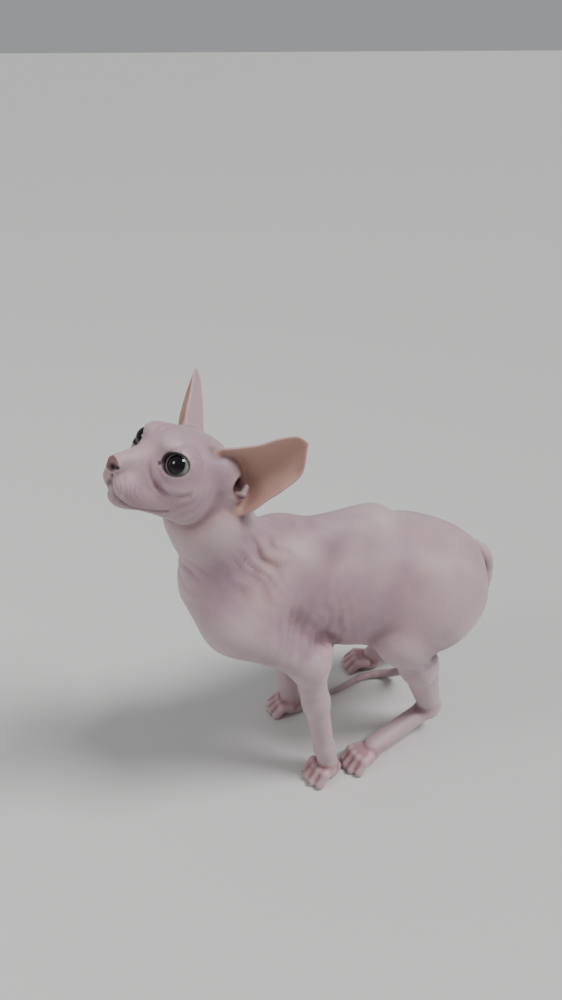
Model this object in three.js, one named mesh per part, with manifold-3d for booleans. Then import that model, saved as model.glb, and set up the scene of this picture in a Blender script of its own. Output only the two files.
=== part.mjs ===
// A life-size sphynx cat in a low, forward-leaning stance: head raised and turned to its left, ears wide,
// front feet side by side, near hind foot flat, far hind heel raised, tail tucked under and laid on the floor.
// Millimetres, +Z up. The cat faces -Y and its left side is +X. The origin is the middle of the base of its box.
//
// The flesh is one distance field: named masses of muscle and bone that melt into each other. The field is turned
// into a mesh, parted into named pieces with thin cuts, and each piece is thinned to the triangles that it needs.

import * as THREE from 'three';
import { mergeVertices } from 'three/addons/utils/BufferGeometryUtils.js';
import Module from 'manifold-3d';

const wasm = await Module();
wasm.setup();

// Driving dimensions

const EYE_SPACING = 39;
const EYE_RADIUS = 10.4;
const TRUNK_HALF_WIDTH = 53;
const LID_OPENING = [9.8, 7.6];
const EAR_ROOT_WALL = 2.2;
const EAR_TIP_WALL = 1.1;
const TAIL_BASE_RADIUS = 8;
const TAIL_TIP_RADIUS = 2.6;
const TOE_RADIUS = 4.1;
const SOLE_FLAT = 0.7;
const GAP = 0.3;

const HEAD_TURN = THREE.MathUtils.degToRad(20);
const HEAD_LIFT = THREE.MathUtils.degToRad(32);
const HEAD_ROLL = THREE.MathUtils.degToRad(5);

const BODY_CELL = 4;
const HEAD_CELL = 1.7;
const FOOT_CELL = 1.6;
const TAIL_CELL = 1.8;
const BODY_FACES = 3800;
const HEAD_FACES = 2300;
const FOOT_FACES = 460;
const TAIL_FACES = 360;

// Places of the joints, before the origin is moved to the middle of the base

const vec = (x, y, z) => new THREE.Vector3(x, y, z);
const BETWEEN_EYES = vec(12, -142, 328);

const LEFT_FORELEG = {
  blade: vec(17, -52, 222),
  shoulder: vec(32, -100, 186),
  elbow: vec(43, -46, 138),
  wrist: vec(46, -30, 34),
  paw: vec(46, -28, 0),
  heading: THREE.MathUtils.degToRad(14),
};
const RIGHT_FORELEG = {
  blade: vec(-17, -52, 222),
  shoulder: vec(-32, -98, 184),
  elbow: vec(-39, -48, 136),
  wrist: vec(-37, -34, 34),
  paw: vec(-36, -33, 0),
  heading: THREE.MathUtils.degToRad(-10),
};
const LEFT_HIND = {
  hip: vec(26, 92, 172),
  knee: vec(49, 34, 138),
  hock: vec(28, 84, 24),
  paw: vec(45, 10, 0),
  heading: THREE.MathUtils.degToRad(17),
};
const RIGHT_HIND = {
  hip: vec(-26, 92, 172),
  knee: vec(-52, 40, 128),
  hock: vec(-43, 133, 62),
  paw: vec(-65, 62, 0),
  heading: THREE.MathUtils.degToRad(-14),
};

// The head's own frame: side to the cat's left, fore to the nose, up to the crown, from the point between the eyes

const headFrame = new THREE.Matrix4()
  .makeTranslation(BETWEEN_EYES)
  .multiply(new THREE.Matrix4().makeRotationZ(HEAD_TURN))
  .multiply(new THREE.Matrix4().makeRotationX(-HEAD_LIFT))
  .multiply(new THREE.Matrix4().makeRotationY(HEAD_ROLL));
const onHead = (side, fore, up) => vec(side, -fore, up).applyMatrix4(headFrame);
function headCoordinates(point) {
  const p = point.clone().applyMatrix4(headFrame.clone().invert());
  return [p.x, -p.y, p.z];
}

// Distance forms

const lerp = THREE.MathUtils.lerp;

function cone(a, ra, b, rb, soft) {
  const ax = b.x - a.x;
  const ay = b.y - a.y;
  const az = b.z - a.z;
  const l2 = ax * ax + ay * ay + az * az;
  const rr = ra - rb;
  const a2 = l2 - rr * rr;
  const il2 = 1 / l2;
  const at = (x, y, z) => {
    const px = x - a.x;
    const py = y - a.y;
    const pz = z - a.z;
    const t = px * ax + py * ay + pz * az;
    const u = t - l2;
    const qx = px * l2 - ax * t;
    const qy = py * l2 - ay * t;
    const qz = pz * l2 - az * t;
    const x2 = qx * qx + qy * qy + qz * qz;
    const t2 = t * t * l2;
    const u2 = u * u * l2;
    const k = Math.sign(rr) * rr * rr * x2;
    if (Math.sign(u) * a2 * u2 > k) return Math.sqrt(x2 + u2) * il2 - rb;
    if (Math.sign(t) * a2 * t2 < k) return Math.sqrt(x2 + t2) * il2 - ra;
    return (Math.sqrt(x2 * a2 * il2) + t * rr) * il2 - ra;
  };
  const middle = a.clone().lerp(b, 0.5);
  return { at, middle, reach: Math.sqrt(l2) / 2 + Math.max(ra, rb), soft };
}

function lump(centre, radii, soft, turn = new THREE.Matrix4()) {
  const m = new THREE.Matrix4().extractRotation(turn).elements;
  const [rx, ry, rz] = radii;
  const at = (x, y, z) => {
    const px = x - centre.x;
    const py = y - centre.y;
    const pz = z - centre.z;
    const qx = (px * m[0] + py * m[1] + pz * m[2]) / rx;
    const qy = (px * m[4] + py * m[5] + pz * m[6]) / ry;
    const qz = (px * m[8] + py * m[9] + pz * m[10]) / rz;
    const k0 = Math.hypot(qx, qy, qz);
    const k1 = Math.hypot(qx / rx, qy / ry, qz / rz);
    return k1 < 1e-9 ? -Math.min(rx, ry, rz) : (k0 * (k0 - 1)) / k1;
  };
  return { at, middle: centre, reach: Math.max(rx, ry, rz), soft };
}

// The field of a list of forms: each joins what is already there over its soft width
function field(forms) {
  return (x, y, z) => {
    let d = 1e3;
    for (const f of forms) {
      const far = Math.hypot(x - f.middle.x, y - f.middle.y, z - f.middle.z) - f.reach;
      if (far > d + f.soft) continue;
      const e = f.at(x, y, z);
      const h = Math.max(f.soft - Math.abs(d - e), 0) / f.soft;
      d = Math.min(d, e) - (h * h * f.soft) / 4;
    }
    return d;
  };
}

// Trunk: rib cage, pot belly, loin and rounded rump

function trunk() {
  const w = TRUNK_HALF_WIDTH;
  return [
    lump(vec(0, -59, 182), [w * 0.78, 56, 50], 1, new THREE.Matrix4().makeRotationX(0.25)),
    lump(vec(0, 18, 175), [w, 72, 58], 30),
    lump(vec(0, 83, 157), [w * 0.92, 51, 52], 30, new THREE.Matrix4().makeRotationX(-0.35)),
    cone(vec(4, -94, 190), 34, vec(4, -108, 204), 26, 18),
    cone(vec(0, -50, 228), 10, vec(0, 24, 226), 14, 22),
  ];
}

function neck() {
  const base = vec(3, -92, 212);
  const top = onHead(0, -34, -14);
  return [
    cone(base, 37, vec(8, -112, 268), 28, 22),
    cone(vec(8, -112, 268), 28, top, 25, 14),
  ];
}

// A foot stands on the floor: four arched toes from a palm, with the pad under it
function toes(leg, { palmBack, span, long }) {
  const place = new THREE.Matrix4().makeTranslation(leg.paw).multiply(new THREE.Matrix4().makeRotationZ(leg.heading));
  const at = (side, fore, up) => vec(side, -fore, up - SOLE_FLAT).applyMatrix4(place);
  const forms = [
    lump(at(0, -1, 6), [span * 1.1, 12, 6.5], 4, place),
    lump(at(0, palmBack, 4.5), [span * 0.8, 8, 5], 4, place),
  ];
  for (const step of [-1.5, -0.5, 0.5, 1.5]) {
    const out = step * span * 0.68;
    const reach = long - Math.abs(step) * 3.2 + 1.6;
    const root = at(out * 0.7, 0, 11);
    const knuckle = at(out * 0.95, reach * 0.52, 11.5);
    const tip = at(out * 1.05, reach, TOE_RADIUS);
    forms.push(cone(root, TOE_RADIUS + 1, knuckle, TOE_RADIUS, 2.4));
    forms.push(cone(knuckle, TOE_RADIUS, tip, TOE_RADIUS - 0.1, 1.2));
  }
  return forms;
}

function foreleg(leg) {
  const ankle = leg.paw.clone().add(vec(0, 2, 14));
  const elbowPoint = leg.elbow.clone().add(vec(0, 8, 4));
  return [
    cone(leg.blade, 15, leg.shoulder, 21, 22),
    cone(leg.shoulder, 22, leg.elbow, 15.5, 18),
    cone(leg.elbow, 15, elbowPoint, 10, 10),
    cone(leg.elbow, 14, leg.elbow.clone().lerp(leg.wrist, 0.45), 10.5, 10),
    cone(leg.elbow.clone().lerp(leg.wrist, 0.45), 10.5, leg.wrist, 8.6, 8),
    cone(leg.wrist, 8.8, ankle, 9, 6),
    ...toes(leg, { palmBack: -7, span: 9.4, long: 17 }),
  ];
}

function hindLeg(leg) {
  const calf = leg.knee.clone().lerp(leg.hock, 0.35).add(vec(0, 5, 0));
  const instep = leg.paw.clone().add(vec(0, 0, 10)).lerp(leg.hock, 0.12);
  const heel = leg.hock.clone().add(leg.hock.clone().sub(leg.paw).normalize().multiplyScalar(4)).add(vec(0, 1, 2));
  return [
    lump(leg.hip.clone().lerp(leg.knee, 0.4), [24, 42, 46], 22, new THREE.Matrix4().makeRotationX(0.7)),
    cone(leg.hip.clone().lerp(leg.knee, 0.5), 30, leg.knee, 17.5, 20),
    cone(leg.knee, 16.5, calf, 14.5, 12),
    cone(calf, 14, leg.hock, 8.6, 10),
    cone(calf.clone().add(vec(0, 12, 0)), 7, heel, 4.5, 9),
    cone(leg.hock, 8.8, heel, 7.4, 5),
    cone(leg.hock, 8.6, instep, 9, 6),
    ...toes(leg, { palmBack: -9, span: 9.4, long: 18 }),
  ];
}

// Head: skull, cheekbones, brow, muzzle with its two pads, chin and jaw

function skull() {
  const forms = [
    lump(onHead(0, -26, 0), [28, 29, 20.5], 1, headFrame),
    lump(onHead(0, -10, 3), [19, 19.5, 15], 10, headFrame),
    lump(onHead(0, -40, -8), [24, 17, 20], 14, headFrame),
    cone(onHead(0, 2, -15), 15.5, onHead(0, 15, -22), 12, 12),
    cone(onHead(0, 0, -3), 9, onHead(0, 26, -13), 5.8, 8),
    lump(onHead(0, 30, -16.5), [6.4, 4.6, 5.4], 3, headFrame),
    lump(onHead(0, 14.5, -37), [7.6, 8.6, 6.4], 6, headFrame),
    cone(onHead(0, 9, -32), 9, onHead(0, -8, -30), 12.5, 8),
  ];
  for (const side of [-1, 1]) {
    forms.push(
      lump(onHead(23 * side, -15, -12), [12, 19, 13], 12, headFrame),
      lump(onHead(11 * side, 0, 9), [10, 9.5, 6.5], 8, headFrame),
      lump(onHead(7.4 * side, 19, -26), [9.4, 10.8, 9.2], 4, headFrame),
      cone(onHead(9 * side, 8, -31), 7.5, onHead(20 * side, -20, -25), 13, 8),
      lump(onHead(25 * side, -32, 6), [9, 11, 13], 9, headFrame),
      cone(onHead(24 * side, -34, 8), 10, onHead(30 * side, -46, -4), 9, 9),
    );
  }
  return forms;
}

const eyeCentre = (side) => onHead((EYE_SPACING / 2) * side, -4.5, 0);

function lids() {
  return [-1, 1].map((side) => lump(eyeCentre(side), [12.3, 12.3, 11.6], 5, headFrame));
}

// Meshes from fields: marching tetrahedra, whose surface always closes

const CORNERS = [
  [0, 0, 0],
  [1, 0, 0],
  [1, 1, 0],
  [0, 1, 0],
  [0, 0, 1],
  [1, 0, 1],
  [1, 1, 1],
  [0, 1, 1],
];
const TETRAHEDRA = [
  [0, 5, 1, 6],
  [0, 1, 2, 6],
  [0, 2, 3, 6],
  [0, 3, 7, 6],
  [0, 7, 4, 6],
  [0, 4, 5, 6],
];

function isEven(from, to) {
  const order = to.map((n) => from.indexOf(n));
  let swaps = 0;
  for (let i = 0; i < 4; i++) {
    for (let j = i + 1; j < 4; j++) {
      if (order[i] > order[j]) swaps++;
    }
  }
  return swaps % 2 === 0;
}

function surface(distance, box, cell) {
  const size = box.getSize(new THREE.Vector3());
  const nx = Math.ceil(size.x / cell) + 1;
  const ny = Math.ceil(size.y / cell) + 1;
  const nz = Math.ceil(size.z / cell) + 1;
  const values = new Float64Array(nx * ny * nz);
  const id = (i, j, k) => (k * ny + j) * nx + i;
  for (let k = 0; k < nz; k++) {
    for (let j = 0; j < ny; j++) {
      for (let i = 0; i < nx; i++) {
        const edge = i === 0 || j === 0 || k === 0 || i === nx - 1 || j === ny - 1 || k === nz - 1;
        let d = cell;
        if (!edge) d = distance(box.min.x + i * cell, box.min.y + j * cell, box.min.z + k * cell);
        values[id(i, j, k)] = Math.abs(d) < 1e-3 ? 1e-3 : d;
      }
    }
  }
  const points = [];
  const faces = [];
  const known = new Map();
  const place = (n, axis) => {
    if (axis === 0) return box.min.x + (n % nx) * cell;
    if (axis === 1) return box.min.y + (Math.floor(n / nx) % ny) * cell;
    return box.min.z + Math.floor(n / (nx * ny)) * cell;
  };
  const crossing = (a, b) => {
    const low = Math.min(a, b);
    const high = Math.max(a, b);
    const key = low * 67108864 + high;
    if (!known.has(key)) {
      const t = THREE.MathUtils.clamp(values[low] / (values[low] - values[high]), 0.06, 0.94);
      known.set(key, points.length / 3);
      for (const axis of [0, 1, 2]) points.push(lerp(place(low, axis), place(high, axis), t));
    }
    return known.get(key);
  };
  const corner = new Int32Array(8);
  for (let k = 0; k < nz - 1; k++) {
    for (let j = 0; j < ny - 1; j++) {
      for (let i = 0; i < nx - 1; i++) {
        let inside = 0;
        for (let n = 0; n < 8; n++) {
          corner[n] = id(i + CORNERS[n][0], j + CORNERS[n][1], k + CORNERS[n][2]);
          if (values[corner[n]] < 0) inside++;
        }
        if (inside === 0 || inside === 8) continue;
        for (const tetra of TETRAHEDRA) {
          const within = tetra.filter((n) => values[corner[n]] < 0);
          if (within.length === 0 || within.length === 4) continue;
          const order = [...within, ...tetra.filter((n) => values[corner[n]] >= 0)];
          const even = isEven(tetra, order);
          const c = (m, n) => crossing(corner[order[m]], corner[order[n]]);
          const put = (a, b, d) => (even ? faces.push(a, b, d) : faces.push(a, d, b));
          if (within.length === 1) {
            put(c(0, 1), c(0, 2), c(0, 3));
          } else if (within.length === 3) {
            put(c(0, 3), c(1, 3), c(2, 3));
          } else {
            put(c(0, 2), c(1, 3), c(1, 2));
            put(c(0, 2), c(0, 3), c(1, 3));
          }
        }
      }
    }
  }
  return { points, faces };
}

// Thinning: the edge whose loss moves the surface least goes first, until the wanted number of faces is left

class Heap {
  items = [];
  push(item) {
    const list = this.items;
    let n = list.push(item) - 1;
    while (n > 0) {
      const up = (n - 1) >> 1;
      if (list[up].cost <= list[n].cost) break;
      [list[up], list[n]] = [list[n], list[up]];
      n = up;
    }
  }
  pop() {
    const list = this.items;
    const top = list[0];
    const last = list.pop();
    if (list.length > 0) {
      list[0] = last;
      let n = 0;
      for (;;) {
        let least = n;
        for (const m of [2 * n + 1, 2 * n + 2]) {
          if (m < list.length && list[m].cost < list[least].cost) least = m;
        }
        if (least === n) break;
        [list[least], list[n]] = [list[n], list[least]];
        n = least;
      }
    }
    return top;
  }
}

function thin(mesh, wanted, detail = () => 1) {
  const points = [];
  for (let n = 0; n < mesh.points.length; n += 3) points.push(new THREE.Vector3().fromArray(mesh.points, n));
  const faces = [];
  for (let n = 0; n < mesh.faces.length; n += 3) faces.push([mesh.faces[n], mesh.faces[n + 1], mesh.faces[n + 2]]);
  const touching = points.map(() => new Set());
  faces.forEach((face, n) => face.forEach((v) => touching[v].add(n)));
  const quadrics = points.map(() => new Float64Array(10));
  const stamps = new Int32Array(points.length);
  const alive = new Uint8Array(points.length).fill(1);
  const weights = points.map((p) => detail(p));
  const plane = new THREE.Plane();
  for (const [a, b, c] of faces) {
    const edge = points[b].clone().sub(points[a]);
    const area = edge.cross(points[c].clone().sub(points[a])).length() / 2;
    if (area < 1e-9) continue;
    plane.setFromCoplanarPoints(points[a], points[b], points[c]);
    const { x, y, z } = plane.normal;
    const w = plane.constant;
    const terms = [x * x, x * y, x * z, x * w, y * y, y * z, y * w, z * z, z * w, w * w];
    for (const v of [a, b, c]) terms.forEach((term, n) => (quadrics[v][n] += term * area * weights[v]));
  }
  const error = (q, p) =>
    q[0] * p.x * p.x + 2 * q[1] * p.x * p.y + 2 * q[2] * p.x * p.z + 2 * q[3] * p.x + q[4] * p.y * p.y +
    2 * q[5] * p.y * p.z + 2 * q[6] * p.y + q[7] * p.z * p.z + 2 * q[8] * p.z + q[9];
  const solve = new THREE.Matrix3();
  const heap = new Heap();
  const offer = (a, b) => {
    const q = quadrics[a].map((term, n) => term + quadrics[b][n]);
    const middle = points[a].clone().lerp(points[b], 0.5);
    const length = points[a].distanceTo(points[b]);
    let best = middle;
    const keep = 1e-3 * (q[0] + q[4] + q[7]) + 1e-9;
    solve.set(q[0] + keep, q[1], q[2], q[1], q[4] + keep, q[5], q[2], q[5], q[7] + keep);
    if (Math.abs(solve.determinant()) > 1e-12) {
      const right = new THREE.Vector3(-q[3], -q[6], -q[8]).addScaledVector(middle, keep);
      const found = right.applyMatrix3(solve.invert());
      if (found.distanceTo(middle) < length) best = found;
    }
    const cost = Math.max(error(q, best), 0) + 1e-4 * length * length * (weights[a] + weights[b]);
    heap.push({ cost, a, b, at: best, stamp: stamps[a] + stamps[b] });
  };
  const around = (v) => {
    const found = new Set();
    for (const n of touching[v]) for (const w of faces[n]) if (w !== v) found.add(w);
    return found;
  };
  const normalOf = (p, q, r) => q.clone().sub(p).cross(r.clone().sub(p));
  const fullness = ([p, q, r], normal) =>
    normal.length() / Math.max(p.distanceToSquared(q), q.distanceToSquared(r), r.distanceToSquared(p));
  const stays = (v, other, at) => {
    for (const n of touching[v]) {
      if (touching[other].has(n)) continue;
      const old = faces[n].map((w) => points[w]);
      const moved = faces[n].map((w) => (w === v ? at : points[w]));
      const before = normalOf(...old);
      const after = normalOf(...moved);
      const even = fullness(moved, after);
      const wasEven = fullness(old, before);
      if (even < 0.06 * strict && even < wasEven) return false;
      if (wasEven > 0.01 && after.normalize().dot(before.normalize()) < 0.4 * strict) return false;
    }
    return true;
  };
  let left = faces.length;
  let strict = 1;
  while (left > wanted && strict > 0.1) {
    if (heap.items.length === 0) {
      if (left < faces.length) strict *= 0.8;
      points.forEach((_, a) => {
        for (const b of around(a)) if (a < b) offer(a, b);
      });
    }
    const { a, b, at, stamp } = heap.pop();
    if (!alive[a] || !alive[b] || stamp !== stamps[a] + stamps[b]) continue;
    const nearA = around(a);
    const shared = [...around(b)].filter((v) => nearA.has(v));
    if (shared.length !== 2 || !stays(a, b, at) || !stays(b, a, at)) continue;
    points[a].copy(at);
    weights[a] = Math.max(weights[a], weights[b]);
    for (let n = 0; n < 10; n++) quadrics[a][n] += quadrics[b][n];
    for (const n of touching[b]) {
      if (touching[a].has(n)) {
        faces[n].forEach((v) => touching[v].delete(n));
        faces[n] = null;
        left--;
      } else {
        faces[n] = faces[n].map((v) => (v === b ? a : v));
        touching[a].add(n);
      }
    }
    alive[b] = 0;
    stamps[a] += 1;
    for (const v of around(a)) offer(a, v);
  }
  const names = new Int32Array(points.length).fill(-1);
  const kept = { points: [], faces: [] };
  for (const face of faces) {
    if (!face) continue;
    for (const v of face) {
      if (names[v] < 0) {
        names[v] = kept.points.length / 3;
        kept.points.push(...points[v].toArray());
      }
      kept.faces.push(names[v]);
    }
  }
  return kept;
}

// Bodies: closed solids that can be joined and cut

function toBody(mesh) {
  return new wasm.Manifold({
    numProp: 3,
    vertProperties: Float32Array.from(mesh.points),
    triVerts: Uint32Array.from(mesh.faces),
  });
}

function toMesh(body) {
  const { vertProperties, triVerts, numProp } = body.getMesh();
  const points = [];
  for (let n = 0; n < vertProperties.length; n += numProp) {
    points.push(vertProperties[n], vertProperties[n + 1], vertProperties[n + 2]);
  }
  return { points, faces: Array.from(triVerts) };
}

function fromGeometry(geometry) {
  const bare = new THREE.BufferGeometry();
  bare.setAttribute('position', geometry.getAttribute('position').clone());
  bare.setIndex(geometry.index);
  const merged = mergeVertices(bare, 1e-4);
  return toBody({ points: merged.getAttribute('position').array, faces: merged.index.array });
}

// After a cut only the largest closed body is kept, so no crumb is left beside it
function largest(body) {
  const pieces = body.decompose();
  return pieces.reduce((best, piece) => (piece.volume() > best.volume() ? piece : best));
}

// The same mesh with each point moved out along its own normal
function grown(mesh, by) {
  const geometry = new THREE.BufferGeometry();
  geometry.setAttribute('position', new THREE.Float32BufferAttribute(mesh.points, 3));
  geometry.setIndex(mesh.faces);
  geometry.computeVertexNormals();
  const normals = geometry.getAttribute('normal').array;
  return { points: mesh.points.map((value, n) => value + normals[n] * by), faces: mesh.faces };
}

const slab = (at, along, [width, depth], thickness) => {
  const turn = new THREE.Quaternion().setFromUnitVectors(vec(0, 0, 1), along.clone().normalize());
  const box = new THREE.BoxGeometry(width, depth, thickness);
  return fromGeometry(box.applyQuaternion(turn).translate(at.x, at.y, at.z));
};
const boxAround = (low, high) => new THREE.Box3(low, high);

// The whole flesh, and the finer meshes of the head and the feet that take the place of its coarse ones

const legForms = {
  left_fore: foreleg(LEFT_FORELEG),
  right_fore: foreleg(RIGHT_FORELEG),
  left_hind: hindLeg(LEFT_HIND),
  right_hind: hindLeg(RIGHT_HIND),
};
const trunkForms = trunk();
const neckForms = neck();
const skullForms = skull();
const faceForms = lids();
const fleshForms = [...trunkForms, ...Object.values(legForms).flat(), ...neckForms, ...skullForms, ...faceForms];
const flesh = field(fleshForms);
const trunkField = field(trunkForms);
const neckField = field(neckForms);
const headField = field([...skullForms, ...faceForms]);

const bodyBox = boxAround(vec(-92, -205, -6), vec(92, 168, 385));
const headBox = boxAround(vec(-45, -205, 230), vec(75, -50, 375));
const below = slab(vec(0, 0, -100), vec(0, 0, 1), [900, 900], 200);

const coarse = largest(toBody(thin(surface(flesh, bodyBox, BODY_CELL), BODY_FACES)).subtract(below));
const fineHead = toBody(thin(surface(flesh, headBox, HEAD_CELL), HEAD_FACES));

// Parting surfaces run where two masses are equally near, so each piece keeps its own muscle
function parting(own, other, box, cell, faces) {
  const mesh = thin(surface((x, y, z) => own(x, y, z) - other(x, y, z), box, cell), faces);
  return { keep: toBody(mesh), cut: toBody(grown(mesh, GAP)) };
}

const headPart = parting(headField, neckField, boxAround(vec(-60, -215, 230), vec(90, -40, 390)), 6, 90);
const neckPart = parting(neckField, trunkField, boxAround(vec(-60, -175, 190), vec(70, -45, 330)), 6, 90);

const pieces = {};
pieces.head = largest(fineHead.intersect(headPart.keep));
let rest = largest(coarse.subtract(headPart.cut));
pieces.neck = largest(rest.intersect(neckPart.keep));
rest = largest(rest.subtract(neckPart.cut));

const legBoxes = {
  left_fore: boxAround(vec(8, -135, -8), vec(95, 12, 245)),
  right_fore: boxAround(vec(-95, -135, -8), vec(-8, 12, 245)),
  left_hind: boxAround(vec(8, -40, -8), vec(98, 160, 235)),
  right_hind: boxAround(vec(-98, -10, -8), vec(-8, 165, 235)),
};
const legFields = Object.entries(legForms).map(([name, forms]) => ({ name, distance: field(forms) }));
for (const { name, distance } of legFields) {
  const others = [trunkField, ...legFields.filter((leg) => leg.name !== name).map((leg) => leg.distance)];
  const nearest = (x, y, z) => Math.min(...others.map((other) => other(x, y, z)));
  const part = parting(distance, nearest, legBoxes[name], 7, 140);
  pieces[name] = largest(rest.intersect(part.keep));
  rest = largest(rest.subtract(part.cut));
}
pieces.torso = rest;

// Limbs are parted again at the elbow and wrist, and at the knee and hock. The feet are meshed finer.

const middleOf = (body) => {
  const { min, max } = body.boundingBox();
  return vec(...min).add(vec(...max)).multiplyScalar(0.5);
};

function split(body, at, along, size) {
  const cut = body.subtract(slab(at, along, [size, size], GAP)).decompose();
  const two = cut.sort((p, q) => q.volume() - p.volume()).slice(0, 2);
  return two.sort((p, q) => middleOf(p).dot(along) - middleOf(q).dot(along));
}

function foot(leg, at, along) {
  const around = boxAround(leg.paw.clone().add(vec(-26, -34, -7)), at.clone().max(leg.paw).add(vec(26, 26, 14)));
  const fine = toBody(thin(surface(field(leg.forms), around, FOOT_CELL), FOOT_FACES));
  const beyond = slab(at.clone().addScaledVector(along, 150 + GAP / 2), along, [120, 120], 300);
  return largest(fine.subtract(below).intersect(beyond));
}

const fore = { top: 'elbow', low: 'wrist', down: 22, width: 74, parts: ['upper_arm', 'forearm', 'paw'] };
const hind = { top: 'knee', low: 'hock', down: 48, width: 90, parts: ['thigh', 'shin', 'foot'] };
const limbs = [
  { name: 'left_fore', leg: LEFT_FORELEG, ...fore },
  { name: 'right_fore', leg: RIGHT_FORELEG, ...fore },
  { name: 'left_hind', leg: LEFT_HIND, ...hind },
  { name: 'right_hind', leg: RIGHT_HIND, ...hind },
];
for (const { name, leg, top, low, down, width, parts } of limbs) {
  const shin = leg[low].clone().sub(leg[top]).normalize();
  const instep = leg.paw.clone().add(vec(0, 0, 8)).sub(leg[low]).normalize();
  const upperCut = leg[top].clone().addScaledVector(shin, down);
  const level = shin.clone().lerp(vec(0, 0, -1), 0.6).normalize();
  const lowerCut = leg[low].clone().addScaledVector(instep, 17);
  const [upper, lower] = split(pieces[name], upperCut, level, width);
  const [middle] = split(lower, lowerCut, instep, 30);
  delete pieces[name];
  pieces[`${name}_${parts[0]}`] = upper;
  pieces[`${name}_${parts[1]}`] = middle;
  pieces[`${name}_${parts[2]}`] = foot({ ...leg, forms: legForms[name] }, lowerCut, instep);
}

// Tail: a tapering whip that hugs the rump, runs forward between the hind legs and ends flat on the floor

const curve = (marks) => new THREE.CatmullRomCurve3(marks, false, 'catmullrom', 0.5);
const TAIL_LINE = curve([
  vec(0, 118, 184),
  vec(2, 139, 166),
  vec(5, 139, 138),
  vec(6, 126, 106),
  vec(2, 106, 76),
  vec(-14, 94, 42),
  vec(-32, 84, 14),
  vec(-44, 70, 4.4),
  vec(-47, 50, 2.8),
  vec(-43, 31, 2.2),
  vec(-40, 15, 1.9),
]);

function tail() {
  const steps = 30;
  const forms = [];
  for (let n = 0; n < steps; n++) {
    const [t, u] = [n / steps, (n + 1) / steps];
    const radius = (w) => lerp(TAIL_BASE_RADIUS, TAIL_TIP_RADIUS, Math.pow(w, 0.8));
    forms.push(cone(TAIL_LINE.getPoint(t), radius(t), TAIL_LINE.getPoint(u), radius(u), 0.5));
  }
  const around = boxAround(vec(-58, 4, -4), vec(22, 156, 200));
  return toBody(thin(surface(field(forms), around, TAIL_CELL), TAIL_FACES)).subtract(below);
}

const tailAlone = largest(tail().subtract(toBody(grown(toMesh(pieces.torso), GAP))));
const cutLine = (t) => [TAIL_LINE.getPoint(t), TAIL_LINE.getTangent(t), 30];
const [tailBase, tailRest] = split(tailAlone, ...cutLine(0.4));
const [tailMiddle, tailTip] = split(tailRest, ...cutLine(0.7));
pieces.tail_base = largest(tailBase);
pieces.tail_middle = tailMiddle;
pieces.tail_tip = tailTip;

// Face: eyeballs in their sockets, the opening between the lids, the line of the mouth and the nostrils

const ball = (radius) => new THREE.IcosahedronGeometry(radius, 2);
const lookFrom = (side) => onHead(0.36 * side, 0.92, 0.12).sub(onHead(0, 0, 0)).normalize();

for (const [name, side] of [['left', 1], ['right', -1]]) {
  const centre = eyeCentre(side);
  const look = lookFrom(side);
  const opening = ball(1).scale(LID_OPENING[0], 9, LID_OPENING[1]).applyMatrix4(
    new THREE.Matrix4()
      .extractRotation(headFrame)
      .multiply(new THREE.Matrix4().makeRotationZ(0.36 * side))
      .multiply(new THREE.Matrix4().makeRotationY(-0.22 * side)),
  );
  const at = centre.clone().addScaledVector(look, 9.5);
  pieces.head = pieces.head.subtract(fromGeometry(ball(EYE_RADIUS + GAP).translate(centre.x, centre.y, centre.z)));
  pieces.head = largest(pieces.head.subtract(fromGeometry(opening.translate(at.x, at.y, at.z))));
  pieces[`eye_${name}`] = fromGeometry(ball(EYE_RADIUS).translate(centre.x, centre.y, centre.z));
}

function groove(marks, radius) {
  const forms = [];
  for (let n = 0; n + 1 < marks.length; n++) {
    forms.push(cone(onHead(...marks[n]), radius, onHead(...marks[n + 1]), radius, 0.4));
  }
  const around = new THREE.Box3().setFromPoints(marks.map((mark) => onHead(...mark))).expandByScalar(radius + 1.5);
  return toBody(thin(surface(field(forms), around, 0.6), 160));
}

for (const side of [-1, 1]) {
  const lipLine = [
    [0, 30.5, -28],
    [2 * side, 28.5, -31],
    [5 * side, 24, -33.5],
    [10 * side, 16, -35],
    [15 * side, 6, -33.5],
    [20 * side, -3, -30],
    [22 * side, -8, -27.5],
  ];
  const nostril = [
    [2.4 * side, 33.6, -17.6],
    [4 * side, 32.6, -16.6],
    [5.6 * side, 30, -16],
  ];
  pieces.head = pieces.head.subtract(groove(lipLine, 1.1)).subtract(groove(nostril, 1.2));
}

// Ears: large open cups with thin walls. The front rim starts high on the skull and the back rim low behind the
// cheek. The marks are in the head's frame for the left ear, and the right ear swings further forward.

const FRONT_RIM = [
  [19, -30, 10],
  [23, -24, 18],
  [32, -31, 26],
  [40, -39, 34],
  [48, -45, 44],
  [54, -51, 51],
  [58, -57, 52],
];
const BACK_RIM = [
  [25, -44, -8],
  [36, -55, -16],
  [43, -58, -10],
  [49, -60, 2],
  [55, -62, 13],
  [60, -64, 27],
  [58.5, -60, 46],
];
const CUP_BACK = [
  [15, -42, 4],
  [20, -50, 6],
  [29, -57, 12],
  [38, -61, 22],
  [46, -62, 32],
  [53, -62, 42],
  [58, -58.5, 49],
];

function onEar([s, fore, up], side) {
  const swing = side > 0 ? 0 : -0.3;
  const p = vec(s - 24, -fore - 38, up - 5).applyAxisAngle(vec(0, 0, 1), swing).add(vec(24, 38, 5));
  return onHead(p.x * side, -p.y, p.z);
}

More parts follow.
